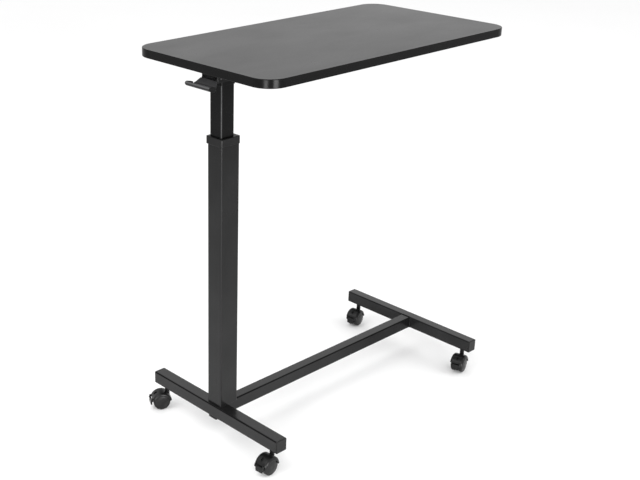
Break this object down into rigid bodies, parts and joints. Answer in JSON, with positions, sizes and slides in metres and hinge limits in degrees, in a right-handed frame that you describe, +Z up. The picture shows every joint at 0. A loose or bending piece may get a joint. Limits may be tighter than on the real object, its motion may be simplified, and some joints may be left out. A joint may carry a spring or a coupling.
{
  "type": "overbed table",
  "caption": "Overbed table with a black rectangular top on one lifting column, a release lever, an H-shaped tube base and swivel casters.",
  "frame": {"origin": "on the floor, below the centre of the tabletop", "axes": "+Z up, +X along the tabletop's long side from the column end to the free end, +Y to the left"},
  "size_m": [0.7522, 0.4115, 0.8675],
  "materials": {
    "laminate": "dark melamine laminate with a faint texture",
    "backer": "dark matte balancing sheet",
    "edge_band": "satin plastic edge band",
    "board": "particle board",
    "black_coat": "black powder coat, semi-gloss",
    "black_plastic": "black moulded plastic",
    "grey_plastic": "grey acetal glide",
    "wheel": "black moulded wheel with a hard tread",
    "zinc": "bright zinc plated steel",
    "dark_steel": "blackened steel",
    "chrome_rod": "hard chromed rod"
  },
  "bodies": {
    "base": {"front_bar": "black_coat", "rear_bar": "black_coat", "beam": "black_coat", "front_cap_left": "black_plastic", "front_cap_right": "black_plastic", "rear_cap_left": "black_plastic", "rear_cap_right": "black_plastic", "caster_sockets": "zinc", "base_strap": "black_coat", "base_bolts": "zinc", "column_foot": "black_coat", "outer_column": "black_coat", "column_collar": "black_plastic", "gas_spring_cylinder": "dark_steel", "gas_rod_guide": "dark_steel", "caster_front_left_stem": "zinc", "caster_front_right_stem": "zinc", "caster_rear_left_stem": "zinc", "caster_rear_right_stem": "zinc"},
    "lift": {"tabletop_core": "board", "laminate_top": "laminate", "backer_sheet": "backer", "edge_band": "edge_band", "support_pan": "black_coat", "pan_screws": "dark_steel", "column_head": "black_plastic", "inner_column": "black_coat", "glide_shoe": "grey_plastic", "lever_housing": "black_plastic", "lever_pin": "dark_steel", "lever_springs": "zinc", "gas_spring_rod": "chrome_rod", "gas_spring_piston": "dark_steel", "rod_yoke": "zinc", "rod_nuts": "zinc"},
    "lever": {"release_lever": "black_plastic"},
    "release": {"release_rod": "chrome_rod"},
    "caster_front_left": {"caster_front_left_housing": "black_plastic", "caster_front_left_axle": "dark_steel"},
    "caster_front_left_wheel_left": {"caster_front_left_wheel_left": "wheel"},
    "caster_front_left_wheel_right": {"caster_front_left_wheel_right": "wheel"},
    "caster_front_left_brake": {"caster_front_left_brake_pedal": "black_plastic"},
    "caster_front_right": {"caster_front_right_housing": "black_plastic", "caster_front_right_axle": "dark_steel"},
    "caster_front_right_wheel_left": {"caster_front_right_wheel_left": "wheel"},
    "caster_front_right_wheel_right": {"caster_front_right_wheel_right": "wheel"},
    "caster_front_right_brake": {"caster_front_right_brake_pedal": "black_plastic"},
    "caster_rear_left": {"caster_rear_left_housing": "black_plastic", "caster_rear_left_axle": "dark_steel"},
    "caster_rear_left_wheel_left": {"caster_rear_left_wheel_left": "wheel"},
    "caster_rear_left_wheel_right": {"caster_rear_left_wheel_right": "wheel"},
    "caster_rear_left_brake": {"caster_rear_left_brake_pedal": "black_plastic"},
    "caster_rear_right": {"caster_rear_right_housing": "black_plastic", "caster_rear_right_axle": "dark_steel"},
    "caster_rear_right_wheel_left": {"caster_rear_right_wheel_left": "wheel"},
    "caster_rear_right_wheel_right": {"caster_rear_right_wheel_right": "wheel"},
    "caster_rear_right_brake": {"caster_rear_right_brake_pedal": "black_plastic"}
  },
  "joints": [
    {"name": "height_slide", "type": "slide", "parent": "base", "child": "lift", "axis": [0, 0, 1], "range_m": [-0.095, 0.25]},
    {"name": "lever_hinge", "type": "hinge", "parent": "lift", "child": "lever", "pos_m": [-0.333, 0, 0.8335], "axis": [0, 1, 0], "range_deg": [0, 14]},
    {"name": "release_slide", "type": "slide", "parent": "lift", "child": "release", "axis": [0, 0, 1], "range_m": [-0.00598, 0], "stiffness_N_per_m": 30, "springref_m": 0.022},
    {"name": "front_left_swivel", "type": "hinge", "parent": "base", "child": "caster_front_left", "pos_m": [-0.3205, 0.1765, 0.05], "axis": [0, 0, 1], "continuous": true},
    {"name": "front_left_wheel_left_spin", "type": "hinge", "parent": "caster_front_left", "child": "caster_front_left_wheel_left", "pos_m": [-0.3344, 0.18358, 0.02], "axis": [-0.454, -0.891, 0], "continuous": true},
    {"name": "front_left_wheel_right_spin", "type": "hinge", "parent": "caster_front_left", "child": "caster_front_left_wheel_right", "pos_m": [-0.3344, 0.18358, 0.02], "axis": [-0.454, -0.891, 0], "continuous": true},
    {"name": "front_left_brake_hinge", "type": "hinge", "parent": "caster_front_left", "child": "caster_front_left_brake", "pos_m": [-0.35627, 0.19472, 0.02477], "axis": [0.454, 0.891, 0], "range_deg": [0, 25]},
    {"name": "front_right_swivel", "type": "hinge", "parent": "base", "child": "caster_front_right", "pos_m": [-0.3205, -0.1765, 0.05], "axis": [0, 0, 1], "continuous": true},
    {"name": "front_right_wheel_left_spin", "type": "hinge", "parent": "caster_front_right", "child": "caster_front_right_wheel_left", "pos_m": [-0.33608, -0.17732, 0.02], "axis": [0.0523, -0.9986, 0], "continuous": true},
    {"name": "front_right_wheel_right_spin", "type": "hinge", "parent": "caster_front_right", "child": "caster_front_right_wheel_right", "pos_m": [-0.33608, -0.17732, 0.02], "axis": [0.0523, -0.9986, 0], "continuous": true},
    {"name": "front_right_brake_hinge", "type": "hinge", "parent": "caster_front_right", "child": "caster_front_right_brake", "pos_m": [-0.36059, -0.1786, 0.02477], "axis": [-0.0523, 0.9986, 0], "range_deg": [0, 25]},
    {"name": "rear_left_swivel", "type": "hinge", "parent": "base", "child": "caster_rear_left", "pos_m": [0.3535, 0.1725, 0.05], "axis": [0, 0, 1], "continuous": true},
    {"name": "rear_left_wheel_left_spin", "type": "hinge", "parent": "caster_rear_left", "child": "caster_rear_left_wheel_left", "pos_m": [0.33819, 0.16952, 0.02], "axis": [0.1908, -0.9816, 0], "continuous": true},
    {"name": "rear_left_wheel_right_spin", "type": "hinge", "parent": "caster_rear_left", "child": "caster_rear_left_wheel_right", "pos_m": [0.33819, 0.16952, 0.02], "axis": [0.1908, -0.9816, 0], "continuous": true},
    {"name": "rear_left_brake_hinge", "type": "hinge", "parent": "caster_rear_left", "child": "caster_rear_left_brake", "pos_m": [0.3141, 0.16484, 0.02477], "axis": [-0.1908, 0.9816, 0], "range_deg": [0, 25]},
    {"name": "rear_right_swivel", "type": "hinge", "parent": "base", "child": "caster_rear_right", "pos_m": [0.3535, -0.1725, 0.05], "axis": [0, 0, 1], "continuous": true},
    {"name": "rear_right_wheel_left_spin", "type": "hinge", "parent": "caster_rear_right", "child": "caster_rear_right_wheel_left", "pos_m": [0.3385, -0.1768, 0.02], "axis": [0.2756, -0.9613, 0], "continuous": true},
    {"name": "rear_right_wheel_right_spin", "type": "hinge", "parent": "caster_rear_right", "child": "caster_rear_right_wheel_right", "pos_m": [0.3385, -0.1768, 0.02], "axis": [0.2756, -0.9613, 0], "continuous": true},
    {"name": "rear_right_brake_hinge", "type": "hinge", "parent": "caster_rear_right", "child": "caster_rear_right_brake", "pos_m": [0.31491, -0.18356, 0.02477], "axis": [-0.2756, 0.9613, 0], "range_deg": [0, 25]}
  ],
  "couplings": [
    {"joint": "lever_hinge", "follows": "release_slide", "rad_per_m": -40.816}
  ]
}
